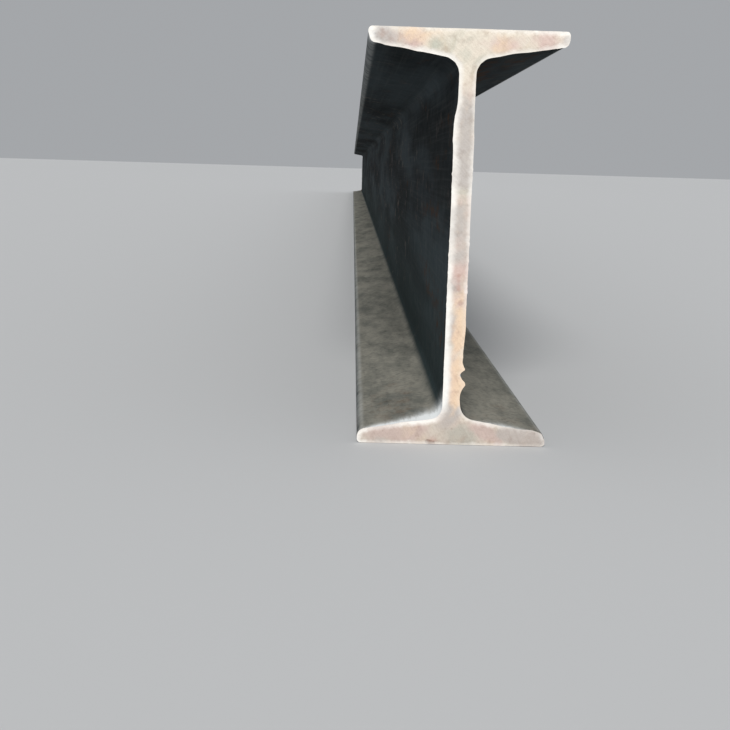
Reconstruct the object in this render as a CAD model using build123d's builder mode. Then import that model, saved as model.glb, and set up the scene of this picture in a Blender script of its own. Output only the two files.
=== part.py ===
"""A stock length of hot-rolled steel beam: one upright web between two flanges.

The inner face of each flange slopes, so a flange is thinnest at its edge and thickest at the web.
The beam lies along Y and stands on its lower flange. The origin is the centre of the face that it
stands on, and +Z is up.
"""

import os

from build123d import *

# Rolled section, in millimetres
section_depth = 250.0
flange_width = 118.0
web_thickness = 10.0

# A flange is this thick halfway between its edge and the face of the web
flange_thickness = 13.0

# Rise of a flange's inner face for each millimetre towards the web
flange_slope = 1 / 6

# Hollow of metal between web and flange, and the two corners of a flange's edge
root_radius = 10.0
toe_radius = 5.0
heel_radius = 2.5

# Length as sold, sawn square at both ends
beam_length = 6000.0

# Half sizes, and a flange's thickness at its edge and at the web, for the outline
half_depth = section_depth / 2
half_width = flange_width / 2
half_web = web_thickness / 2
overhang = half_width - half_web
edge_thickness = flange_thickness - flange_slope * overhang / 2
root_thickness = flange_thickness + flange_slope * overhang / 2

# The section is drawn about the middle of the web, upright and square to the beam's length
mid_section = Plane(origin=(0, 0, half_depth), x_dir=(1, 0, 0), z_dir=(0, -1, 0))

with BuildPart() as beam:
    with BuildSketch(mid_section):
        with BuildLine():
            # The outline's six corners to the right of the web, from the top down
            right_side = [
                (half_width, half_depth),
                (half_width, half_depth - edge_thickness),
                (half_web, half_depth - root_thickness),
                (half_web, root_thickness - half_depth),
                (half_width, edge_thickness - half_depth),
                (half_width, -half_depth),
            ]
            left_side = [(-across, up) for across, up in reversed(right_side)]
            corner_radii = [heel_radius, toe_radius, root_radius, root_radius, toe_radius, heel_radius]
            FilletPolyline(*right_side, *left_side, radius=corner_radii * 2, close=True)
        make_face()
    extrude(amount=beam_length / 2, both=True)

beam.part.label = "h_beam"

os.makedirs("parts", exist_ok=True)
export_step(beam.part, "parts/h_beam.step")
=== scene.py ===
"""Dresses the frame of a hot-rolled steel beam: its rolled skin, its two sawn ends and the stage.

The beam is one piece. Its skin is the I-shaped outline carried along Y, and each sawn end is a grid
stretched between the outline's sides, so that the whole surface is closed. The outline has the same
sizes as the frame's solid, and what is added to it is relief: burrs and nicks at the cut, the saw's
marks and the slight waves of rolling.
"""

import math
from dataclasses import dataclass

import bpy
import numpy as np
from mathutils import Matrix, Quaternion, Vector


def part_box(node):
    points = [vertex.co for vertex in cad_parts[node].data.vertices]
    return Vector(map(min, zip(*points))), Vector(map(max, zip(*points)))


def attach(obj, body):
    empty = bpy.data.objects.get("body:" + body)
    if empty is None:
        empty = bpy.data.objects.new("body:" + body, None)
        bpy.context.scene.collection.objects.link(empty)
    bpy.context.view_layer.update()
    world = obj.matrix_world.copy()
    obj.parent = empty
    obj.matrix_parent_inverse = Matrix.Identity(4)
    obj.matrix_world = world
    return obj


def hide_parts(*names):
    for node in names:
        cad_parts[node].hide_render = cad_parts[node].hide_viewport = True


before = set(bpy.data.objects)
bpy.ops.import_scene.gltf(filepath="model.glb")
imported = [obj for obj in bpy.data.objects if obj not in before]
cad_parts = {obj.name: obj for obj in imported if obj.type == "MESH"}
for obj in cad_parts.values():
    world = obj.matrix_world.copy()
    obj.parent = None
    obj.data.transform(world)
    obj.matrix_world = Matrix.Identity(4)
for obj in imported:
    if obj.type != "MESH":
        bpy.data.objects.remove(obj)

bl_info = {
    "name": "Rolled Steel Beam",
    "version": (1, 0, 0),
    "blender": (4, 5, 0),
    "location": "View3D > Sidebar > Beam",
    "description": "Builds a rolled beam with sawn ends round its frame, and a plain stage",
    "category": "Object",
}

BEAM_LOW, BEAM_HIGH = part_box("h_beam")
MILLIMETRE = 0.001

# The saw blade's centre: how far it is to the left of the web's middle, and below the floor
BLADE_LEFT, BLADE_BELOW = 0.42, 0.23

# The map for baking, as shares of its side: its free border, and the room for each cut
MAP_MARGIN, MAP_CUT_WIDTH, MAP_CUT_HEIGHT = 0.002, 0.234, 0.494


@dataclass(frozen=True)
class Cut:
    """What sets one sawn end apart from the other. Its lengths are in millimetres.

    damage lists places round the outline: across, up, reach and height out of the surface. folds
    lists stretches of the web with an even burr: side, low and high end, then its height. stains
    lists films of colour: across, up and reach, then strength; among them is painted glare, a
    bluish-white painted highlight at the web's left foot, along the left fillet and at some edges.
    glare_scrapes lists places of painted highlight on the skin beside the cut, drawn as steel free
    of scale: across, up, reach and how far back it runs, then strength. map_left is where the cut's
    part of the map for baking starts.
    """

    damage: tuple
    folds: tuple
    stains: dict
    glare_scrapes: tuple
    seed: int
    map_left: float


FRONT_CUT = Cut(
    damage=((5, 49.6, 1.6, 0.9), (5, 48, 1.1, 1.4), (5, 44.6, 1.5, -1.3), (5, 40.2, 1.3, 1.4),
            (5, 38.4, 1.5, 1.7), (5, 36.6, 2.4, 1), (5.6, 30, 4.5, -0.6), (5, 74, 6, 0.4),
            (-5, 190, 10, 0.5), (59, 6.6, 2.2, -0.8), (50, 10, 4, 0.7), (42, 11.5, 2, -0.6),
            (33, 12.5, 5, -0.5), (-30, 13, 5, 0.6), (-46, 239, 4, 0.4), (-31, 236.5, 3, 0.3),
            (27, 236, 6, -0.5), (-59, 244, 1.8, -0.6)),
    folds=((-1, 20, 203, 1.5), (1, 62, 190, 0.6)),
    stains={
        "sage": ((-20, 241, 4, 1.1), (-6, 241, 11, 0.5), (3, 234, 9, 0.5), (0, 159, 11, 0.7),
                 (-3, 66, 9, 0.9), (4, 6, 8, 1.3), (11, 3.5, 6, 1), (39, 3, 6, 0.8)),
        "pink": ((-46, 243, 4.5, 1.3), (-33, 242.5, 5.5, 1.4), (16, 240, 6, 1.1), (24, 240.5, 6, 1.1),
                 (33, 244, 8, 0.6), (46, 244.5, 8, 0.7), (3, 217, 8, 0.2), (3, 205, 8, 0.6),
                 (3, 186, 9, 0.6), (3.5, 149, 9, 0.7), (3.5, 135, 9, 0.8), (3.5, 121, 8, 0.9),
                 (3, 108, 8, 1.2), (3, 97, 8, 1.4), (3, 86, 7, 1), (0, 22, 7, 0.8), (-48, 6, 8, 0.8),
                 (-34, 8, 10, 0.9), (-20, 10, 7, 1.2), (-28, 4, 7, 0.8), (15, 11.5, 4.2, 1.4),
                 (20, 8.5, 4.2, 1.5), (25, 5.5, 4.2, 1.5), (30, 2.5, 4.2, 1.3)),
        "slate": ((-51, 245.8, 5.2, 2.2), (0, 212, 9, 0.8), (-1, 198, 10, 1), (-1, 182, 10, 1.1),
                  (-4.5, 165, 9, 1.1), (4.5, 165, 9, 0.9), (-0.5, 144, 10, 0.8), (-0.5, 128, 9, 0.8),
                  (0, 114, 8, 0.7), (-1, 23, 8, 1.3), (-1, 98, 6, 0.5), (-1, 82, 6, 0.8),
                  (-1, 68, 6, 0.9), (-1, 54, 6, 0.9), (-1, 40, 6, 0.9), (-40, 243.5, 9, 0.9),
                  (-4, 15, 8, 1.3), (46, 5, 8, 1.9), (54, 4, 5, 1.7), (32, 8, 4, 1.9), (38, 7, 4, 1.8),
                  (-45, 0.5, 6, 1), (57.5, 245, 4, 1.8), (57, 5, 3, 1.4), (-6.5, 144, 7, 0.6),
                  (-6.5, 131, 7, 0.6), (-6.5, 118, 7, 0.6), (-6.5, 101, 7, 0.9)),
        "amber": ((-39, 245.5, 6, 0.7), (-29, 245, 6, 0.7), (20, 241.5, 8, 0.6), (4, 93, 6, 0.6),
                  (5, 82, 7.5, 1.1), (5, 71, 7.5, 1.3), (5, 60, 7.5, 1.3), (5, 50, 7.5, 1.3),
                  (5.5, 40, 7.5, 1.5), (4, 31, 7, 1.3), (-38, 249, 6, 0.4), (-29, 249.5, 6, 0.4),
                  (-19, 249, 6, 0.4), (-22, 6, 8, 0.6), (23, 1, 6, 0.6)),
        # Painted glare: bluish-white painted highlight up the web's left foot, along the left fillet and at
        # the flange tips
        "painted_glare": ((-6.6, 87, 4, 0.5), (-6.6, 78, 4.2, 0.6), (-6.6, 70, 4.4, 0.7), (-6.6, 61, 4.6, 0.8),
                  (-6.6, 53, 4.6, 0.9), (-6.6, 45, 4.8, 1), (-6.8, 37, 5, 1.1), (-8, 29, 5.2, 1.3),
                  (-12, 23, 4.8, 1.3), (-18, 19.5, 4.4, 1.2), (-25, 17.5, 3.6, 1), (-59, 246, 4, 1),
                  (59, 245, 4.2, 0.2), (58, 7, 3.6, 0.4)),
        "blush": ((0, 106, 1.6, 0.9), (0.3, 103, 1.5, 0.8), (0.6, 99.8, 1.6, 0.9), (0.5, 97.5, 1.4, 0.6),
                  (2, 90, 3, 0.4), (-12.5, 2, 4.5, 0.6), (-1.5, 80, 5.5, 0.4), (-1.5, 70, 5.5, 0.4),
                  (-1.5, 60, 5.5, 0.4), (-1, 50, 5.5, 0.4), (-1, 40, 5.5, 0.4), (-1, 31, 5.5, 0.4),
                  (-51, 246, 4.5, 0.3), (-39, 243.5, 8, 0.36)),
        # A dark smear at the bottom edge under the left slope
        "spot": ((-15.2, 1.8, 1.4, 0.9), (-13.2, 0.8, 1.8, 1.1), (-11, 0.2, 1.6, 1)),
    },
    # Painted highlight beside the cut: along the lower left fillet, up the web's left side and at a few
    # edges
    glare_scrapes=((-8, 24, 7, 17, 1.6), (-15, 18.5, 8, 14, 1.6), (-27, 14, 11, 9, 1.5),
             (-44, 11.5, 11, 5, 1.2), (-5, 52, 28, 7, 0.8), (-5, 130, 45, 4, 0.6), (34, 13, 16, 8, 0.6),
             (-59, 244, 6, 20, 0.6)),
    seed=3,
    map_left=MAP_MARGIN,
)
BACK_CUT = Cut(
    damage=((-5, 90, 6, 1.2), (-5, 79, 3, -2.4), (5, 190, 8, 0.9), (45, 240, 6, 0.9), (-59, 245, 4, -1.2),
            (30, 13, 5, 0.8)),
    folds=((1, 30, 165, 1.2), (-1, 110, 215, 0.6)),
    stains={
        "sage": ((30, 241, 15, 1), (0, 150, 25, 0.6), (-20, 12, 14, 0.8)),
        "pink": ((-36, 242, 16, 1), (0, 75, 30, 0.8), (42, 6, 14, 0.9)),
        "slate": ((4, 228, 14, 0.8), (0, 112, 14, 0.7), (0, 10, 14, 0.8)),
        "amber": ((-2, 195, 20, 0.9), (-48, 6, 10, 0.8)),
        # Painted glare: bluish-white painted highlight near the web's upper right root, on the web's left
        # side and at the lower left tip
        "painted_glare": ((8, 223, 4, 1.2), (12, 228, 4, 1.2), (18, 231, 3.8, 1), (5.5, 214, 4, 1),
                  (-5.5, 60, 4, 0.8), (-59, 4, 5, 0.8)),
        "blush": ((2, 131, 5, 0.8), (22, 6, 7, 0.8)),
        "spot": ((21, 4, 2, 1.4),),
    },
    # Painted highlight beside the cut
    glare_scrapes=((13, 231, 10, 40, 0.9), (5, 100, 30, 12, 0.7), (-35, 12.5, 14, 30, 0.8)),
    seed=7,
    map_left=0.242,
)


def length_property(name, description, default, **options):
    """A property that holds a length in metres."""
    return bpy.props.FloatProperty(
        name=name, description=description, default=default, unit="LENGTH", precision=5, **options
    )


def angle_property(name, description, degrees):
    """A property that holds an angle."""
    return bpy.props.FloatProperty(
        name=name, description=description, default=math.radians(degrees), subtype="ANGLE"
    )


def number_property(name, description, default, **options):
    """A property that holds a plain number."""
    return bpy.props.FloatProperty(name=name, description=description, default=default, **options)


def colour_property(name, description, default):
    """A property that holds a linear colour."""
    return bpy.props.FloatVectorProperty(
        name=name, description=description, default=default, min=0, max=1, size=3, subtype="COLOR"
    )


class RolledSectionSettings(bpy.types.PropertyGroup):
    """Sizes of the rolled outline that the frame's box doesn't give."""

    web_thickness: length_property("Web", "Thickness of the upright web", 0.01)
    flange_thickness: length_property(
        "Flange", "Thickness of a flange halfway between its edge and the web's face", 0.013
    )
    flange_slope: number_property("Slope", "Rise of a flange's inner face towards the web", 1 / 6)
    root_radius: length_property("Root", "Radius of the hollow between web and flange", 0.01)
    toe_radius: length_property("Toe", "Radius of a flange's inner corner", 0.005)
    heel_radius: length_property("Heel", "Radius of a flange's outer corner", 0.0025)
    grain_size: length_property("Grain", "Spacing of the mesh round the outline", 0.0008)
    rolling_wave: length_property("Wave", "Depth of the waves that rolling leaves", 0.0002)


class SawnEndSettings(bpy.types.PropertyGroup):
    """Relief and colours of the sawn ends."""

    burr_height: length_property("Burr", "Height of the ragged lip round the cut", 0.0005)
    burr_reach: length_property("Burr reach", "How far the lip runs back from the cut", 0.0022)
    saw_depth: length_property("Saw marks", "Depth of the marks that the blade leaves", 0.00018)
    saw_pitch: length_property("Saw pitch", "Spacing of the blade's marks", 0.0042)
    # The rim is a painted highlight along the burr round the outline
    rim_width: length_property("Rim", "Width of the bright burr at the outline", 0.0027)
    cream: colour_property("Cream", "Bare steel of the cut", (0.69, 0.63, 0.535))
    pink: colour_property("Pink", "First bloom of rust", (0.585, 0.445, 0.4))
    sage: colour_property("Sage", "Greenish film", (0.45, 0.46, 0.39))
    slate: colour_property("Slate", "Grey film", (0.45, 0.42, 0.395))
    amber: colour_property("Amber", "Yellower rust", (0.73, 0.56, 0.405))
    # Painted highlight: bluish-white glare at the foot of the web and at some edges
    painted_glare: colour_property("Chalk", "Bluish-white burnish at the foot of the web", (0.72, 0.76, 0.78))
    # Painted highlight: the colour of the bright rim along the outline
    lip: colour_property("Lip", "Bright burr at the outline", (0.78, 0.76, 0.725))
    # Painted shade: the cut darker towards the floor
    painted_low_shade: colour_property("Grime", "Duller film towards the floor", (0.36, 0.31, 0.28))
    blush: colour_property("Blush", "Small reddish smears", (0.43, 0.28, 0.235))
    speck: colour_property("Speck", "Dark spots of rust", (0.17, 0.1, 0.07))


class MillScaleSettings(bpy.types.PropertyGroup):
    """Colours of the rolled skin."""

    dark: colour_property("Dark scale", "Tight scale, nearly black", (0.01, 0.0135, 0.015))
    blue: colour_property("Blue scale", "Scale that cooled to a blue-grey", (0.04, 0.053, 0.06))
    # A lighter teal tone towards the bottom of the beam
    film: colour_property("Film", "Thin teal film of dust low on the web", (0.028, 0.041, 0.041))
    thin: colour_property("Thin scale", "Steel that shows where scale flaked off", (0.125, 0.13, 0.125))
    brown: colour_property("Brown rust", "Thin old rust", (0.075, 0.038, 0.021))
    orange: colour_property("Orange rust", "Fresh rust in spots and streaks", (0.13, 0.058, 0.025))
    dust: colour_property("Dust", "Dust on the lower flange's slopes", (0.285, 0.275, 0.235))
    bloom: colour_property("Bloom", "Paler dust on the open top face", (0.34, 0.355, 0.345))
    worn: colour_property("Worn edge", "Corners rubbed bright in handling", (0.4, 0.41, 0.4))
    # Painted highlight: the glare beside a cut, drawn as skin free of scale
    bare_glare: colour_property("Bare steel", "Skin scraped bare beside a cut", (0.82, 0.85, 0.86))
    rust_reach: length_property("Rust reach", "How far rust runs back from a cut", 0.34)


class StageSettings(bpy.types.PropertyGroup):
    """The camera's place, the floor and the light."""

    camera_left: length_property("Left", "Camera's distance left of the web's middle", 0.066)
    camera_ahead: length_property("Ahead", "Camera's distance in front of the cut", 0.62)
    camera_height: length_property("Height", "Camera's height above the floor", 0.17)
    camera_lens: number_property("Lens", "Focal length on a 36 mm sensor", 50.5, unit="CAMERA")
    camera_pan: angle_property("Pan", "Turn to the right", 1.0)
    camera_tilt: angle_property("Tilt", "Turn downwards", 11.0)
    camera_roll: angle_property("Roll", "Lean to the left", 1.7)
    floor_colour: colour_property("Floor", "Colour of the plain floor", (0.52, 0.53, 0.54))
    sky_colour: colour_property("Backdrop", "Colour of the plain backdrop", (0.93, 0.96, 1.0))
    sky_strength: number_property("Sky", "Strength of the backdrop's light", 0.4)
    key_strength: number_property("Key", "Strength of the soft light from the camera's side", 3.3)


@dataclass
class Section:
    """The rolled outline's sizes in metres, with what follows from them."""

    half_width: float
    depth: float
    half_web: float
    flange_thickness: float
    slope: float
    root_radius: float
    toe_radius: float
    heel_radius: float
    grain: float

    @property
    def lean(self):
        """Angle of the inner face's outward normal above the X axis."""
        return math.atan2(1, self.slope)

    @property
    def steepness(self):
        """Length of the inner face for each metre across."""
        return math.hypot(1, self.slope)

    @property
    def edge_thickness(self):
        """Thickness of a flange at its edge, were its corners sharp."""
        return self.flange_thickness - self.slope * (self.half_width - self.half_web) / 2

    @property
    def toe_centre(self):
        """Centre of the arc between a flange's edge and its inner face."""
        across = self.half_width - self.toe_radius
        return across, self.edge_thickness + self.toe_radius * (self.slope - self.steepness)

    @property
    def root_centre(self):
        """Centre of the arc between a flange's inner face and the web."""
        across = self.half_web + self.root_radius
        inner_face = self.edge_thickness + self.slope * (self.half_width - across)
        return across, inner_face + self.root_radius * self.steepness

    @property
    def heel_centre(self):
        """Centre of the arc between a flange's outer face and its edge."""
        return self.half_width - self.heel_radius, self.heel_radius

    def steps(self, length):
        """How many grains fit in a length, at least two."""
        return max(2, round(length / self.grain))


@dataclass
class Outline:
    """The closed outline and the number of steps in its named stretches.

    The points run from the middle of the underside to the right, up the web and back down its left
    side. Each quarter has the same steps: half the outer face, the flange's edge, its inner face and
    half the web's face. One stretch ends and the next begins halfway round the arc between them.
    """

    points: np.ndarray
    outer: int
    edge: int
    inner: int
    web: int
    across_web: int

    @property
    def quarter(self):
        """Steps from the middle of a flange's outer face to the middle of the web's face."""
        return self.outer + self.edge + self.inner + self.web


@dataclass
class Patch:
    """Part of the surface: faces as point numbers, and each face corner's place on the map."""

    faces: np.ndarray
    map_places: np.ndarray
    is_cut: bool


def frame_section(settings):
    """The section's sizes: overall ones from the frame's box, the others from the settings."""
    return Section(
        half_width=BEAM_HIGH.x,
        depth=BEAM_HIGH.z - BEAM_LOW.z,
        half_web=settings.web_thickness / 2,
        flange_thickness=settings.flange_thickness,
        slope=settings.flange_slope,
        root_radius=settings.root_radius,
        toe_radius=settings.toe_radius,
        heel_radius=settings.heel_radius,
        grain=settings.grain_size,
    )


def straight(start, end, steps):
    """Points evenly spaced on a straight line, both ends included."""
    share = np.linspace(0, 1, steps + 1)[:, None]
    return (1 - share) * np.array(start) + share * np.array(end)


def arc(centre, radius, start, end, steps):
    """Points evenly spaced in angle on a circle, both ends included."""
    angle = np.linspace(start, end, steps + 1)
    return np.array(centre) + radius * np.stack([np.cos(angle), np.sin(angle)], axis=1)


def rolled_outline(section):
    """One quarter of the I from lines and arcs, mirrored upwards and then to the left.

    The web's first stretch from its foot has finer steps, for the torn burrs there.
    """
    heel_half, toe_half = 4, 5
    foot_top, foot_grain = 0.055, 0.0005
    root_half = section.steps(section.root_radius * section.lean / 2)
    heel = arc(section.heel_centre, section.heel_radius, -math.pi / 2, 0, 2 * heel_half)
    toe = arc(section.toe_centre, section.toe_radius, 0, section.lean, 2 * toe_half)
    root = arc(section.root_centre, section.root_radius, section.lean + math.pi, math.pi, 2 * root_half)
    slope_steps = section.steps(math.dist(toe[-1], root[0]))
    mid_web = (section.half_web, section.depth / 2)
    foot_end = (section.half_web, foot_top)
    foot_steps = round(math.dist(root[-1], foot_end) / foot_grain)
    web_steps = section.steps(math.dist(foot_end, mid_web))
    across_web = 2 * round(section.half_web / section.grain)
    inner = toe_half + slope_steps + root_half
    outer = inner + across_web // 2
    quarter = np.concatenate([
        straight((0, 0), heel[0], outer - heel_half),
        heel[1:],
        straight(heel[-1], toe[0], 2)[1:],
        toe[1:],
        straight(toe[-1], root[0], slope_steps)[1:],
        root[1:],
        straight(root[-1], foot_end, foot_steps)[1:],
        straight(foot_end, mid_web, web_steps)[1:],
    ])
    upper = quarter[::-1][1:] * (1, -1) + (0, section.depth)
    right = np.concatenate([quarter, upper])
    left = right[::-1][1:-1] * (-1, 1)
    return Outline(
        points=np.concatenate([right, left]),
        outer=outer,
        edge=heel_half + 2 + toe_half,
        inner=inner,
        web=root_half + foot_steps + web_steps,
        across_web=across_web,
    )


def outward(points):
    """Unit normals of a closed outline: the step between a point's neighbours, a quarter turn on."""
    along = np.roll(points, -1, axis=0) - np.roll(points, 1, axis=0)
    along /= np.linalg.norm(along, axis=1, keepdims=True)
    return np.stack([along[:, 1], -along[:, 0]], axis=1)


def distance_round(points):
    """Distance round the outline from its first point to each, and the whole way round."""
    step = np.linalg.norm(np.roll(points, -1, axis=0) - points, axis=1)
    return np.concatenate([[0], np.cumsum(step)[:-1]]), step.sum()


def bend_of(points, normals):
    """Signed curvature of the outline: the sine of the normal's turn over the step that it takes."""
    ahead, behind = np.roll(normals, -1, axis=0), np.roll(normals, 1, axis=0)
    turn = behind[:, 0] * ahead[:, 1] - behind[:, 1] * ahead[:, 0]
    step = np.linalg.norm(np.roll(points, -1, axis=0) - np.roll(points, 1, axis=0), axis=1)
    return turn / step


def ripple(distance, whole, waves, seed):
    """Sum of cosines with a whole number of turns round the outline, each with a seeded phase.

    waves lists (wavelength, height). The sum has no seam, because each wave closes on itself.
    """
    phases = np.random.default_rng(seed).uniform(0, 2 * math.pi, len(waves))
    total = np.zeros(len(distance))
    for (wavelength, height), phase in zip(waves, phases):
        turns = max(1, round(whole / wavelength))
        total += height * np.cos(2 * math.pi * turns * distance / whole + phase)
    return total


def rolling_waves(distance, whole, stations, height):
    """Slight waves of rolling, never above the true surface.

    Each wave is the cosine of turns round the outline plus turns along the beam. Their sum is
    lowered by its own height, so that the beam stays inside its box.
    """
    waves = ((0.31, 2.3, 0.4), (0.12, 1.1, 0.3), (0.07, 0.6, 0.2), (0.03, 3.1, 0.1))
    phases = np.random.default_rng(11).uniform(0, 2 * math.pi, len(waves))
    total = np.zeros((len(stations), len(distance)))
    for (round_it, along_it, share), phase in zip(waves, phases):
        turns = 2 * math.pi * max(1, round(whole / round_it)) * distance / whole
        total += share * np.cos(turns[None] + 2 * math.pi * stations[:, None] / along_it + phase)
    return height * (total - 1) / 2


def near(points, across, up, reach):
    """Bell-shaped weight: e to minus the square of the distance from a place over its reach.

    The points are in metres, but the place and the reach are in millimetres.
    """
    gap = np.linalg.norm(points / MILLIMETRE - (across, up), axis=1)
    return np.exp(-((gap / reach) ** 2))


def burr_shares(outline, seed):
    """The burr round a cut as a share of its greatest height: fine ripples where slow waves peak."""
    distance, whole = distance_round(outline.points)
    short = ((0.0037, 0.2), (0.0049, 0.25), (0.0067, 0.3), (0.0097, 0.3), (0.0143, 0.25), (0.023, 0.2))
    long = ((0.037, 0.3), (0.061, 0.35), (0.097, 0.3), (0.23, 0.3))
    fine = ripple(distance, whole, short, seed)
    slow = ripple(distance, whole, long, seed + 1)
    return (0.25 + 0.75 * np.clip(fine, 0, 1)) * np.clip(0.4 + slow, 0.05, 1)


def folded_burr(outline, half_web, cut):
    """Height of the even burr on the web's sides.

    Each fold comes and goes as hyperbolic tangents of the height, and fades as a bell with the
    distance from its side of the web.
    """
    ease, reach = 4, 5
    across, up = outline.points.T / MILLIMETRE
    total = np.zeros(len(up))
    for side, low, high, height in cut.folds:
        along = (np.tanh((up - low) / ease) - np.tanh((up - high) / ease)) / 2
        from_side = across - side * half_web / MILLIMETRE
        total += height * MILLIMETRE * along * np.exp(-((from_side / reach) ** 2))
    return total


def ragged_lip(outline, half_web, settings, cut):
    """How far the outline stands out at a cut: its burrs, plus a bell at each damaged place."""
    lip = settings.burr_height * burr_shares(outline, cut.seed) + folded_burr(outline, half_web, cut)
    for across, up, reach, height in cut.damage:
        lip += height * MILLIMETRE * near(outline.points, across, up, reach)
    return lip


def saw_relief(across, up, settings, seed):
    """Depth of a cut's face below its highest point.

    The blade's marks are arcs round a far centre: the cosine of the distance from it over the
    pitch. Slower cosines across and up make the face uneven.
    """
    phases = np.random.default_rng(seed).uniform(0, 2 * math.pi, 4)
    blade = np.hypot(across + BLADE_LEFT, up + BLADE_BELOW)
    drift = 0.6 * np.cos(2 * math.pi * up / 0.071 + phases[0])
    marks = np.cos(2 * math.pi * blade / settings.saw_pitch + drift + phases[1])
    wander = np.cos(2 * math.pi * (across + 0.4 * up) / 0.055 + phases[2])
    wander += np.cos(2 * math.pi * (up - 0.3 * across) / 0.094 + phases[3])
    return settings.saw_depth * (1 - 0.35 * marks - 0.32 * wander)


def beam_stations(half_length):
    """Distances of the skin's rings from a cut: steps that grow from it, then even ones to the middle."""
    first, growth, count, even = 0.0004, 1.24, 18, 13
    close = first * (growth ** np.arange(count + 1) - 1) / (growth - 1)
    return np.concatenate([close, np.linspace(close[-1], half_length, even)[1:]])


def quads_of(grid):
    """The four corners of each cell of a grid, in turn round the cell."""
    low, high = grid[:-1], grid[1:]
    corners = np.stack([low[:, :-1], low[:, 1:], high[:, 1:], high[:, :-1]], axis=2)
    return corners.reshape(-1, 4, *grid.shape[2:])


def grid_between(low, high, start, end):
    """Grid that meets four sides: the blend of each pair of opposite sides, less that of the corners."""
    along = np.linspace(0, 1, len(low))[None, :, None]
    up = np.linspace(0, 1, len(start))[:, None, None]
    low_line = (1 - along) * low[0] + along * low[-1]
    high_line = (1 - along) * high[0] + along * high[-1]
    sides = (1 - along) * start[:, None] + along * end[:, None]
    return (1 - up) * (low - low_line) + up * (high - high_line) + sides


def cut_face(outline, ring):
    """Fills an outline with three grids that share their borders: lower flange, web and upper flange.

    Returns the points, the ring's own first, and the corners of each face, counter-clockwise seen
    from the front.
    """
    size = len(ring)
    inner_start = outline.outer + outline.edge
    root = inner_start + outline.inner
    half_turn = 2 * outline.quarter

    right_face = np.arange(root, half_turn - root + 1)
    left_face = -right_face % size
    share = np.linspace(0, 1, outline.across_web + 1)[None, :, None]
    web = (1 - share) * ring[right_face][:, None] + share * ring[left_face][:, None]
    within = web[:, 1:-1]
    web_number = np.empty(web.shape[:2], int)
    web_number[:, 0], web_number[:, -1] = right_face, left_face
    web_number[:, 1:-1] = size + np.arange(within[..., 0].size).reshape(within.shape[:2])
    points = [ring, within.reshape(-1, 2)]
    quads = [quads_of(web_number[::-1])]
    count = size + within[..., 0].size

    # A flange's grid runs from its right edge to its left, and from its outer face in to the web
    for first, turn, web_row in ((0, 1, 0), (half_turn, -1, -1)):
        edge_steps = np.arange(outline.outer, inner_start + 1)
        slope_steps = np.arange(inner_start, root)
        outer = (first + turn * np.arange(outline.outer, -outline.outer - 1, -1)) % size
        right_edge = (first + turn * edge_steps) % size
        left_edge = (first - turn * edge_steps) % size
        right_inner = (first + turn * slope_steps) % size
        left_inner = (first - turn * slope_steps[::-1]) % size
        inner = np.concatenate([right_inner, web_number[web_row], left_inner])
        inner_points = np.concatenate([ring[right_inner], web[web_row], ring[left_inner]])
        grid = grid_between(ring[outer], inner_points, ring[right_edge], ring[left_edge])
        within = grid[1:-1, 1:-1]
        number = np.empty(grid.shape[:2], int)
        number[0], number[-1] = outer, inner
        number[:, 0], number[:, -1] = right_edge, left_edge
        number[1:-1, 1:-1] = count + np.arange(within[..., 0].size).reshape(within.shape[:2])
        points.append(within.reshape(-1, 2))
        quads.append(quads_of(number[::-turn]))
        count += within[..., 0].size
    return np.concatenate(points), np.concatenate(quads)


def lifted_rings(outline, half_web, gaps, rolled, sawn):
    """The outline at each station, moved along its normals by the waves and by both cuts' lips.

    A lip fades as e to minus the distance from its cut over its reach. gaps holds the distance from
    the front cut and from the back one. Nothing leaves the frame's box.
    """
    ring = outline.points
    distance, whole = distance_round(ring)
    lift = rolling_waves(distance, whole, gaps[0], rolled.rolling_wave)
    for gap, cut in zip(gaps, (FRONT_CUT, BACK_CUT)):
        fade = np.exp(-gap / sawn.burr_reach)[:, None]
        lift += fade * ragged_lip(outline, half_web, sawn, cut)[None]
    rings = ring[None] + lift[..., None] * outward(ring)[None]
    return np.clip(rings, (BEAM_LOW.x, 0), (BEAM_HIGH.x, BEAM_HIGH.z))


def rim_glints(outline, half_web, cut):
    """How broad and bright the painted highlight on the rim shows, from 0 to 1.3.

    It is more at burrs and at the flanges' edges, and less on outer faces, on the web's right side
    and on the lower flange's right slope. The web's left side gets more than its right, as painted
    light from the left.
    """
    distance, whole = distance_round(outline.points)
    slow = ripple(distance, whole, ((0.041, 0.5), (0.073, 0.5), (0.13, 0.4)), cut.seed + 30)
    normals = outward(outline.points)

    # Stretches of the outline, found by their places in millimetres
    across, up = outline.points.T / MILLIMETRE
    right_of_web = (np.abs(across) < 20) * normals[:, 0]
    outer_face = np.abs(normals[:, 1]) > 0.999
    edge = np.abs(across) > 53
    right_slope = (up < 21) & (across > -6)
    glints = 0.45 + 0.35 * burr_shares(outline, cut.seed) + 0.22 * slow
    glints += 0.15 * folded_burr(outline, half_web, cut) / MILLIMETRE + 0.2 * edge
    glints -= 0.25 * (right_of_web + outer_face + right_slope)
    return np.clip(glints, 0, 1.3)


def cut_values(flat, ring, glints, cut):
    """Values on a cut: the distance from its outline, the nearest rim's glint for the painted highlight,
    and films of colour.
    """
    gap = np.linalg.norm(flat[:, None] - ring[None], axis=2)
    values = {"rim_inset": gap.min(axis=1), "rim_glint": glints[gap.argmin(axis=1)]}
    for name, places in cut.stains.items():
        total = sum(strength * near(flat, *place) for *place, strength in places)
        values[f"{name}_stain"] = np.clip(total, 0, 1.5)
    return values


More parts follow.
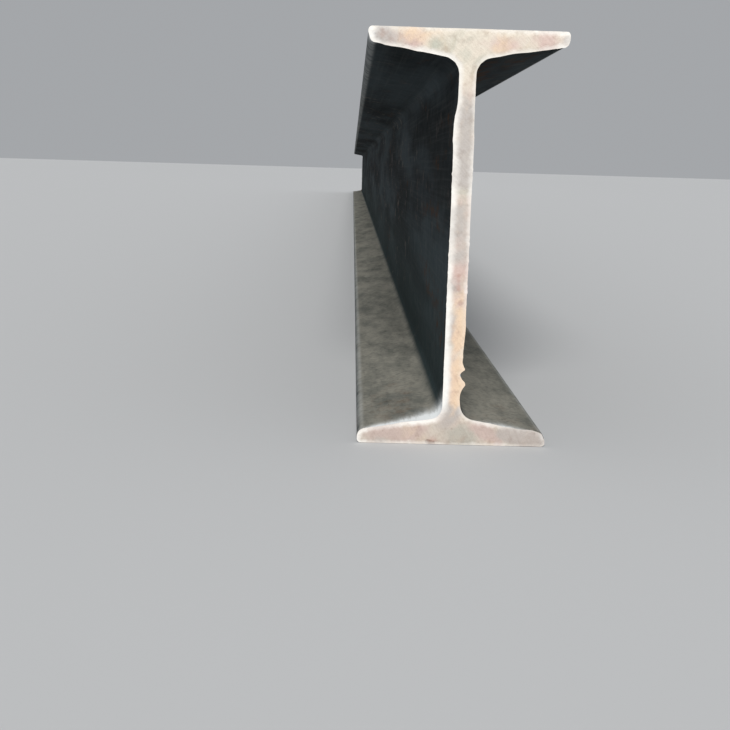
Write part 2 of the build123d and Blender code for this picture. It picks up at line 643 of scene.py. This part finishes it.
def skin_values(outline, gaps):
    """Values on the skin, for each station and point of the outline.

    Wear is the outline's curvature times the radius of a corner that is worn to the steel, dust
    follows the upward part of its normal, and the glare scrapes, painted highlight on the skin beside
    a cut, are bells round their places that fade with the distance from their cut.
    """
    bare_radius = 0.0032
    ring = outline.points
    normals = outward(ring)
    wear = np.clip(bend_of(ring, normals) * bare_radius, 0, 1)
    up = np.clip(normals[:, 1], 0, 1)
    scraped_glare = np.zeros((len(gaps[0]), len(ring)))
    for gap, cut in zip(gaps, (FRONT_CUT, BACK_CUT)):
        for *place, run, strength in cut.glare_scrapes:
            fade = np.exp(-gap / MILLIMETRE / run)[:, None]
            scraped_glare += strength * fade * near(ring, *place)[None]
    rows = np.ones((len(gaps[0]), 1))
    return {"corner_wear": rows * wear, "faces_up": rows * up, "scraped_glare": np.clip(scraped_glare, 0, 1)}


def skin_patches(number, shares, gap):
    """The skin as three bands on the map: the last 0.3 m at each cut large, and the rest above them.

    number holds the point numbers, a row for each station, and shares the distance round as a
    share of the whole.
    """
    near_end = np.searchsorted(gap, 0.3)
    far_start = len(gap) - 1 - near_end
    far_edge = 1 - MAP_MARGIN
    bands = (
        (0, near_end, 0.482, 0.738, MAP_MARGIN, 0.496),
        (near_end, far_start, MAP_MARGIN, far_edge, 0.504, far_edge),
        (far_start, len(gap) - 1, 0.742, far_edge, MAP_MARGIN, 0.496),
    )
    patches = []
    for first, last, left, right, low, high in bands:
        rows = slice(first, last + 1)
        along = (gap[rows] - gap[first]) / (gap[last] - gap[first])
        across = np.broadcast_to(left + (right - left) * along[:, None], number[rows].shape)
        up = np.broadcast_to(low + (high - low) * shares[None], number[rows].shape)
        map_places = quads_of(np.stack([across, up], axis=-1))
        patches.append(Patch(quads_of(number[rows])[:, ::-1], map_places[:, ::-1], False))
    return patches


def beam_surface(section, rolled, sawn):
    """The whole surface: its points, its patches and the values at its points.

    The skin is the outline carried along Y. Each cut is a filled grid whose depth is the saw's
    relief, and it shares the skin's end ring.
    """
    outline = rolled_outline(section)
    ring = outline.points
    close = beam_stations(BEAM_HIGH.y)
    gap = np.concatenate([close, 2 * BEAM_HIGH.y - close[::-1][1:]])
    gaps = (gap, gap[::-1])
    rings = lifted_rings(outline, section.half_web, gaps, rolled, sawn)
    on_skin = skin_values(outline, gaps)
    names = [*on_skin, "rim_inset", "rim_glint", *(f"{name}_stain" for name in FRONT_CUT.stains)]
    values = {name: [] for name in names}
    places, patches, end_rings = [], [], []
    count = 0

    for row, end, cut in ((0, BEAM_LOW.y, FRONT_CUT), (-1, BEAM_HIGH.y, BACK_CUT)):
        flat, quads = cut_face(outline, rings[row])
        depth = saw_relief(flat[:, 0], flat[:, 1], sawn, cut.seed)
        y = end - math.copysign(1, end) * depth
        places.append(np.stack([flat[:, 0], y, flat[:, 1]], axis=1))
        across = cut.map_left + MAP_CUT_WIDTH * (flat[:, 0] / section.half_width / 2 + 0.5)
        up = MAP_MARGIN + MAP_CUT_HEIGHT * flat[:, 1] / section.depth
        quads = quads if row == 0 else quads[:, ::-1]
        patches.append(Patch(count + quads, np.stack([across, up], axis=1)[quads], True))
        on_cut = cut_values(flat, rings[row], rim_glints(outline, section.half_web, cut), cut)
        for name in names:
            value = on_cut.get(name, np.zeros(len(flat)))
            if name in on_skin:
                value[: len(ring)] = on_skin[name][row]
            values[name].append(value)
        end_rings.append(count + np.arange(len(ring)))
        count += len(flat)

    middle = rings[1:-1]
    y = np.broadcast_to((BEAM_LOW.y + gap[1:-1])[:, None], middle.shape[:2])
    places.append(np.stack([middle[..., 0], y, middle[..., 1]], axis=-1).reshape(-1, 3))
    for name in names:
        value = on_skin.get(name, np.zeros(rings.shape[:2]))
        values[name].append(value[1:-1].ravel())

    number = count + np.arange(middle[..., 0].size).reshape(middle.shape[:2])
    number = np.concatenate([end_rings[0][None], number, end_rings[1][None]])
    number = np.concatenate([number, number[:, :1]], axis=1)
    distance, whole = distance_round(ring)
    shares = np.concatenate([distance, [whole]]) / whole
    patches += skin_patches(number, shares, gap)
    return np.concatenate(places), patches, {name: np.concatenate(value) for name, value in values.items()}


def closed_mesh(name, places, patches, values):
    """A mesh from arrays: two materials, a map for the bake, and a value for each point."""
    faces = np.concatenate([patch.faces for patch in patches])
    slots = np.concatenate([np.full(len(patch.faces), int(patch.is_cut)) for patch in patches])
    map_places = np.concatenate([patch.map_places for patch in patches])
    mesh = bpy.data.meshes.new(name)
    mesh.vertices.add(len(places))
    mesh.vertices.foreach_set("co", places.astype(np.float32).ravel())
    mesh.loops.add(faces.size)
    mesh.loops.foreach_set("vertex_index", faces.astype(np.int32).ravel())
    mesh.polygons.add(len(faces))
    mesh.polygons.foreach_set("loop_start", np.arange(0, faces.size, 4, dtype=np.int32))
    mesh.polygons.foreach_set("material_index", slots.astype(np.int32))
    mesh.update(calc_edges=True)
    for key, value in values.items():
        mesh.attributes.new(key, "FLOAT", "POINT").data.foreach_set("value", value.astype(np.float32))
    mesh.uv_layers.new(name="OFBake").uv.foreach_set("vector", map_places.astype(np.float32).ravel())
    mesh.validate()
    mesh.shade_smooth()
    mesh.set_sharp_from_angle(angle=math.radians(38))
    return mesh


class Finish:
    """Builds the nodes of one material, each with one call, from its bare colour up."""

    def __init__(self, name, colour):
        self.material = bpy.data.materials.new(name)
        self.material.use_nodes = True
        self.nodes = self.material.node_tree.nodes
        self.links = self.material.node_tree.links
        self.place = self.make("ShaderNodeTexCoord").outputs["Object"]
        self.colour = colour
        self.normal = None

    def make(self, kind, inputs=(), **settings):
        """Adds a node, sets its properties, and fills inputs given as (socket, value or output) pairs."""
        node = self.nodes.new(kind)
        for key, value in settings.items():
            setattr(node, key, value)
        for socket, value in inputs:
            self.put(node.inputs[socket], value)
        return node

    def put(self, socket, value):
        """Links an output to a socket, or sets the socket's own number or colour."""
        if isinstance(value, bpy.types.NodeSocket):
            self.links.new(value, socket)
        elif socket.type == "RGBA":
            socket.default_value = (*value, 1)
        else:
            socket.default_value = value

    def stretched(self, x, y, z, turn=(0, 0, 0)):
        """Object coordinates, turned, then scaled by a number for each axis."""
        inputs = (("Vector", self.place), ("Rotation", turn), ("Scale", (x, y, z)))
        return self.make("ShaderNodeMapping", inputs, vector_type="TEXTURE").outputs["Vector"]

    def noise(self, place, scale, detail=4.0, roughness=0.55, distortion=0.0):
        """Noise from 0 to 1, mostly near a half."""
        names = ("Vector", "Scale", "Detail", "Roughness", "Distortion")
        inputs = zip(names, (place, scale, detail, roughness, distortion))
        return self.make("ShaderNodeTexNoise", inputs).outputs["Fac"]

    def bands(self, distance, scale):
        """Uneven bands along a distance, from 0 to 1."""
        inputs = (("W", distance), ("Scale", scale), ("Detail", 3.0), ("Roughness", 0.7))
        return self.make("ShaderNodeTexNoise", inputs, noise_dimensions="1D").outputs["Fac"]

    def spots(self, place, scale):
        """Distance from the middle of the nearest of scattered cells."""
        return self.make("ShaderNodeTexVoronoi", (("Vector", place), ("Scale", scale))).outputs["Distance"]

    def step(self, value, low, high, start=0.0, end=1.0):
        """Runs smoothly from start to end as the value goes from low to high."""
        names = ("Value", "From Min", "From Max", "To Min", "To Max")
        inputs = zip(names, (value, low, high, start, end))
        return self.make("ShaderNodeMapRange", inputs, interpolation_type="SMOOTHSTEP").outputs["Result"]

    def maths(self, operation, first, second=0.0):
        """One operation on two numbers."""
        return self.make("ShaderNodeMath", ((0, first), (1, second)), operation=operation).outputs[0]

    def times(self, *values):
        """Product of several numbers."""
        total = values[0]
        for value in values[1:]:
            total = self.maths("MULTIPLY", total, value)
        return total

    def blend(self, share, first, second):
        """Colour that goes from the first to the second."""
        node = self.make("ShaderNodeMix", data_type="RGBA")
        self.put(node.inputs["Factor"], share)
        self.put(node.inputs[6], first)
        self.put(node.inputs[7], second)
        return node.outputs[2]

    def cover(self, share, colour):
        """Lays a colour over those so far."""
        self.colour = self.blend(share, self.colour, colour)

    def attribute(self, name):
        """The number that the mesh holds for each point under this name."""
        return self.make("ShaderNodeAttribute", attribute_name=name).outputs["Fac"]

    def axis(self, name):
        """One of the object coordinates."""
        return self.make("ShaderNodeSeparateXYZ", (("Vector", self.place),)).outputs[name]

    def bump(self, height, depth):
        """Raises the surface by a height from 0 to 1, of this depth in metres, on the bumps so far."""
        inputs = [("Height", height), ("Distance", depth), ("Strength", 1.0)]
        if self.normal:
            inputs.append(("Normal", self.normal))
        self.normal = self.make("ShaderNodeBump", inputs).outputs["Normal"]

    def finished(self, roughness, specular=0.5):
        """The material, with the colours and bumps laid so far."""
        surface = {
            "Base Color": self.colour,
            "Metallic": 0.0,
            "IOR": 1.5,
            "Specular IOR Level": specular,
            "Roughness": roughness,
        }
        if self.normal:
            surface["Normal"] = self.normal
        for socket, value in surface.items():
            self.put(self.nodes["Principled BSDF"].inputs[socket], value)
        return self.material


def mill_scale(colours):
    """The rolled skin: blue-grey scale with flaked patches, pits, rust towards the cuts, dust, a lighter
    teal tone low down, and painted highlight beside the cuts.
    """
    finish = Finish("mill_scale", colours.dark)
    place = finish.place
    drawn_out = finish.stretched(1, 7, 1)

    tone = finish.noise(drawn_out, 16, 5)
    lines = finish.noise(finish.stretched(1, 90, 1), 420, 3)
    mottle = finish.noise(place, 75, 6, 0.65)
    finish.cover(finish.step(tone, 0.38, 0.66), colours.blue)
    finish.cover(finish.step(lines, 0.45, 0.75, 0, 0.12), colours.thin)

    flake_field = finish.noise(finish.stretched(1, 1.8, 1), 52, 7, 0.62, 0.3)
    past_middle = finish.maths("ABSOLUTE", finish.axis("Y"))
    inland = finish.step(past_middle, BEAM_HIGH.y - 0.9, BEAM_HIGH.y - 0.1, 1, 0.25)
    flakes = finish.times(finish.step(flake_field, 0.615, 0.635), inland)
    stained = finish.times(finish.step(flake_field, 0.575, 0.62, 0, 0.4), inland)
    finish.cover(stained, colours.brown)
    finish.cover(finish.times(flakes, 0.45), colours.thin)
    # A lighter teal tone towards the bottom, fading out by 0.15 m up
    film = finish.times(finish.step(finish.axis("Z"), 0.15, 0.02), finish.step(mottle, 0.25, 0.7, 0.5, 0.9))
    finish.cover(film, colours.film)
    slant = finish.noise(finish.stretched(1, 60, 1, (0.35, 0.0, 0.12)), 300, 2)
    scratches = finish.times(finish.step(slant, 0.74, 0.8), finish.step(tone, 0.5, 0.62))
    finish.cover(finish.times(scratches, 0.16), colours.thin)

    near_cut = finish.step(past_middle, BEAM_HIGH.y - colours.rust_reach, BEAM_HIGH.y)
    rust_field = finish.noise(drawn_out, 24, 7, 0.62)
    rust_line = finish.maths("SUBTRACT", 0.67, finish.times(near_cut, 0.11))
    broken = finish.maths("ADD", rust_field, finish.step(mottle, 0.3, 0.7, -0.07, 0.07))
    rust_over = finish.maths("SUBTRACT", broken, rust_line)
    rust = finish.step(rust_over, -0.03, 0.1)
    finish.cover(finish.times(rust, 0.8), colours.brown)
    fresh = finish.step(rust_over, 0.09, 0.16)
    finish.cover(finish.times(fresh, 0.6), colours.orange)

    up = finish.attribute("faces_up")
    dust_field = finish.noise(finish.stretched(1, 2.8, 1), 38, 7, 0.68)
    speckle = finish.noise(place, 310, 3, 0.6)
    dusty = finish.times(finish.step(up, 0.5, 0.98), finish.step(dust_field, 0.28, 0.66, 0.35, 0.95))
    dusty = finish.times(dusty, finish.step(speckle, 0.25, 0.6, 0.65, 1))
    on_top = finish.step(finish.axis("Z"), BEAM_HIGH.z - 0.005, BEAM_HIGH.z - 0.001)
    finish.cover(dusty, finish.blend(on_top, colours.dust, colours.bloom))

    pits = finish.step(finish.noise(place, 360, 3, 0.6), 0.63, 0.69)
    pitted = finish.times(pits, finish.step(finish.noise(place, 13, 3), 0.5, 0.66))
    finish.cover(finish.times(pitted, 0.6), colours.dark)

    rubbed = finish.times(finish.attribute("corner_wear"), finish.step(mottle, 0.3, 0.62, 0.25, 1))
    finish.cover(finish.times(rubbed, 0.75), colours.worn)
    # Painted highlight: pale glare on the skin beside each cut, drawn as steel free of scale, where the
    # glare scrapes lie
    streaky = finish.step(finish.noise(finish.stretched(1, 6, 1), 420, 4, 0.65), 0.32, 0.62, 0.72, 1)
    scraped_glare = finish.step(finish.times(finish.attribute("scraped_glare"), streaky), 0.05, 0.85)
    finish.cover(scraped_glare, colours.bare_glare)

    finish.bump(finish.maths("ADD", finish.times(lines, 0.35), finish.times(mottle, 0.65)), 0.0002)
    finish.bump(finish.maths("SUBTRACT", 1.0, pitted), 0.0004)
    finish.bump(finish.maths("SUBTRACT", 1.0, flakes), 0.0002)
    dull = finish.maths("ADD", finish.times(dusty, 0.14), finish.times(rust, 0.12))
    shiny = finish.maths("ADD", finish.times(flakes, 0.1), finish.times(scraped_glare, 0.22))
    rough = finish.maths("ADD", finish.step(mottle, 0.3, 0.7, 0.7, 0.84), dull)
    return finish.finished(finish.maths("SUBTRACT", rough, shiny), specular=0.02)


def sawn_steel(colours):
    """The cut: pale steel with films, saw arcs, rust specks, and painted highlights and shade."""
    finish = Finish("sawn_steel", colours.cream)
    place = finish.place

    broad = finish.noise(place, 48, 4, 0.55, 0.4)
    other = finish.noise(finish.stretched(0.8, 1, 1.3, (0, 0.6, 0)), 70, 4, 0.55, 0.5)
    cloud = finish.noise(place, 170, 5, 0.6)
    grit = finish.noise(place, 1500, 3, 0.7)
    fields = {"pink": broad, "sage": other, "slate": finish.maths("SUBTRACT", 1.0, broad), "amber": other}
    for name, field in fields.items():
        film = finish.maths("ADD", field, finish.times(finish.attribute(f"{name}_stain"), 0.3))
        finish.cover(finish.step(film, 0.54, 0.9), getattr(colours, name))
    # Painted shade: the cut grows darker towards the floor, as if lit from above
    foot = finish.step(finish.axis("Z"), 0.03, 0.006, 0, 0.55)
    finish.cover(finish.times(foot, finish.step(broad, 0.3, 0.6, 0.6, 1)), colours.painted_low_shade)
    finish.cover(finish.step(cloud, 0.5, 0.7, 0, 0.22), colours.speck)
    finish.cover(finish.step(grit, 0.3, 0.55, 0.16, 0), colours.speck)

    # The blade's arcs: uneven bands along the distance from a far centre
    blade = (BLADE_LEFT, 0, BLADE_BELOW)
    from_blade = finish.make("ShaderNodeVectorMath", ((0, place), (1, blade)), operation="ADD").outputs[0]
    inputs = ((0, from_blade), (1, (1, 0, 1)))
    flat = finish.make("ShaderNodeVectorMath", inputs, operation="MULTIPLY").outputs[0]
    reach = finish.make("ShaderNodeVectorMath", ((0, flat),), operation="LENGTH")
    bent = finish.maths("ADD", reach.outputs["Value"], finish.times(broad, 0.004))
    arcs = finish.bands(bent, 3.2 / colours.saw_pitch)
    finish.cover(finish.step(arcs, 0.35, 0.7, 0, 0.09), colours.speck)

    specks = finish.step(finish.spots(place, 330), 0.3, 0.12)
    speckled = finish.times(specks, finish.step(finish.noise(place, 60, 2), 0.54, 0.66))
    finish.cover(finish.times(speckled, 0.3), colours.speck)

    smear = finish.step(finish.maths("ADD", finish.attribute("blush_stain"), cloud), 0.65, 1.45, 0, 0.8)
    finish.cover(smear, colours.blush)
    ragged = finish.maths("ADD", finish.times(cloud, 0.6), finish.times(grit, 0.6))
    # A dark smear where the spot films lie, at the bottom edge, in the speck colour
    spot = finish.step(finish.maths("ADD", finish.attribute("spot_stain"), ragged), 0.85, 1.35, 0, 0.75)
    finish.cover(spot, colours.speck)
    # Painted highlight: bluish-white glare where the painted glare films lie, up the web's left foot and
    # along the left fillet
    glare_patch = finish.times(finish.attribute("painted_glare_stain"), finish.step(cloud, 0.2, 0.6, 0.85, 1))
    finish.cover(finish.step(glare_patch, 0.05, 1.1, 0, 0.9), colours.painted_glare)

    # Painted highlight: a bright rim along the outline, its width and strength set by rim_glint, fainter
    # where amber or slate films lie
    wobble = finish.times(finish.step(cloud, 0.3, 0.7, -0.22, 0.22), colours.rim_width)
    inset = finish.maths("ADD", finish.attribute("rim_inset"), wobble)
    glint = finish.attribute("rim_glint")
    edge = finish.times(finish.maths("ADD", glint, 0.55), colours.rim_width)
    lip = finish.step(finish.maths("DIVIDE", inset, edge), 1.3, 0.2)
    lip = finish.times(lip, finish.step(glint, 0.0, 0.9, 0.3, 0.95))
    lip = finish.times(lip, finish.step(finish.attribute("amber_stain"), 0.2, 1.2, 1, 0.3))
    lip = finish.times(lip, finish.step(finish.attribute("slate_stain"), 0.6, 1.4, 1, 0.55))
    finish.cover(lip, colours.lip)

    finish.bump(arcs, 0.00012)
    finish.bump(grit, 0.00016)
    finish.bump(cloud, 0.0003)
    finish.bump(finish.step(inset, 0.0, colours.rim_width * 1.5), 0.0003)
    return finish.finished(finish.step(cloud, 0.3, 0.7, 0.5, 0.68))


def put_in_scene(name, data):
    """A new object in the scene, with this mesh, light or camera."""
    thing = bpy.data.objects.new(name, data)
    bpy.context.scene.collection.objects.link(thing)
    return thing


class BEAM_OT_rolled_beam(bpy.types.Operator):
    """Build the beam: rolled skin and sawn ends, as one closed piece in place of the plain solid"""

    bl_idname = "beam.rolled_beam"
    bl_label = "Rolled Beam"

    def execute(self, context):
        """Makes the mesh and its two materials, and ties the piece to the frame."""
        scene = context.scene
        section = frame_section(scene.rolled_section)
        places, patches, values = beam_surface(section, scene.rolled_section, scene.sawn_end)
        mesh = closed_mesh("rolled_beam", places, patches, values)
        mesh.materials.append(mill_scale(scene.mill_scale))
        mesh.materials.append(sawn_steel(scene.sawn_end))
        beam = put_in_scene("rolled_beam", mesh)
        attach(beam, "root")
        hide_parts("h_beam")
        return {"FINISHED"}


class BEAM_OT_stage(bpy.types.Operator):
    """Set the stage: pale floor, even backdrop, soft light and the camera at the cut"""

    bl_idname = "beam.stage"
    bl_label = "Stage"

    def execute(self, context):
        """Makes the floor, the light and the camera."""
        scene = context.scene
        stage = scene.beam_stage
        self.floor(stage)
        self.backdrop(scene, stage)
        self.lamps(stage)
        self.camera(scene, stage)
        return {"FINISHED"}

    def floor(self, stage):
        """A wide flat square just under the beam."""
        reach, drop = 60.0, 0.0002
        turns = ((-1, -1), (1, -1), (1, 1), (-1, 1))
        corners = [(reach * x, reach * y, -drop) for x, y in turns]
        mesh = bpy.data.meshes.new("floor")
        mesh.from_pydata(corners, [], [(0, 1, 2, 3)])
        mesh.materials.append(Finish("floor_paint", stage.floor_colour).finished(0.75))
        floor = put_in_scene("floor", mesh)

    def backdrop(self, scene, stage):
        """An even pale sky, and a view with no film curve."""
        world = bpy.data.worlds.new("studio")
        world.use_nodes = True
        sky = world.node_tree.nodes["Background"]
        sky.inputs["Color"].default_value = (*stage.sky_colour, 1)
        sky.inputs["Strength"].default_value = stage.sky_strength
        scene.world = world
        scene.view_settings.view_transform = "Standard"

    def lamps(self, stage):
        """A wide soft sun from over the camera's shoulder."""
        data = bpy.data.lights.new("key", "SUN")
        data.energy = stage.key_strength
        data.angle = math.radians(24)
        data.color = (1.0, 0.98, 0.95)
        key = put_in_scene("key", data)
        key.rotation_euler = Vector((0.09, 0.82, -0.57)).to_track_quat("-Z", "Y").to_euler()

    def camera(self, scene, stage):
        """A camera in front of the front cut, left of the web and between the flanges."""
        data = bpy.data.cameras.new("camera")
        data.sensor_width = 36.0
        data.lens = stage.camera_lens
        data.clip_start = 0.01
        data.clip_end = 500.0
        camera = put_in_scene("camera", data)
        camera.location = (-stage.camera_left, BEAM_LOW.y - stage.camera_ahead, stage.camera_height)
        pan, tilt = stage.camera_pan, stage.camera_tilt
        aim = Vector((math.sin(pan) * math.cos(tilt), math.cos(pan) * math.cos(tilt), -math.sin(tilt)))
        turn = aim.to_track_quat("-Z", "Y") @ Quaternion((0, 0, 1), stage.camera_roll)
        camera.rotation_euler = turn.to_euler()
        scene.camera = camera


class BEAM_PT_sidebar(bpy.types.Panel):
    """The beam's settings and the buttons that build it"""

    bl_idname = "BEAM_PT_sidebar"
    bl_label = "Rolled Steel Beam"
    bl_space_type = "VIEW_3D"
    bl_region_type = "UI"
    bl_category = "Beam"

    def draw(self, context):
        """Lists the operators, then each group of settings."""
        for operator in OPERATORS:
            self.layout.operator(operator.bl_idname)
        for name, group in GROUPS.items():
            box = self.layout.box()
            for setting in group.__annotations__:
                box.prop(getattr(context.scene, name), setting)


GROUPS = {
    "rolled_section": RolledSectionSettings,
    "sawn_end": SawnEndSettings,
    "mill_scale": MillScaleSettings,
    "beam_stage": StageSettings,
}
OPERATORS = (BEAM_OT_rolled_beam, BEAM_OT_stage)


def register():
    """Registers the classes and hangs the settings on the scene."""
    for cls in (*GROUPS.values(), *OPERATORS, BEAM_PT_sidebar):
        bpy.utils.register_class(cls)
    for name, group in GROUPS.items():
        setattr(bpy.types.Scene, name, bpy.props.PointerProperty(type=group))


def unregister():
    """Takes the settings off the scene and the classes out again."""
    for name in GROUPS:
        delattr(bpy.types.Scene, name)
    for cls in reversed((*GROUPS.values(), *OPERATORS, BEAM_PT_sidebar)):
        bpy.utils.unregister_class(cls)


def main():
    """Builds everything."""
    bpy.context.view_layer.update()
    register()
    bpy.ops.beam.stage()
    bpy.ops.beam.rolled_beam()


if __name__ == "__main__":
    main()
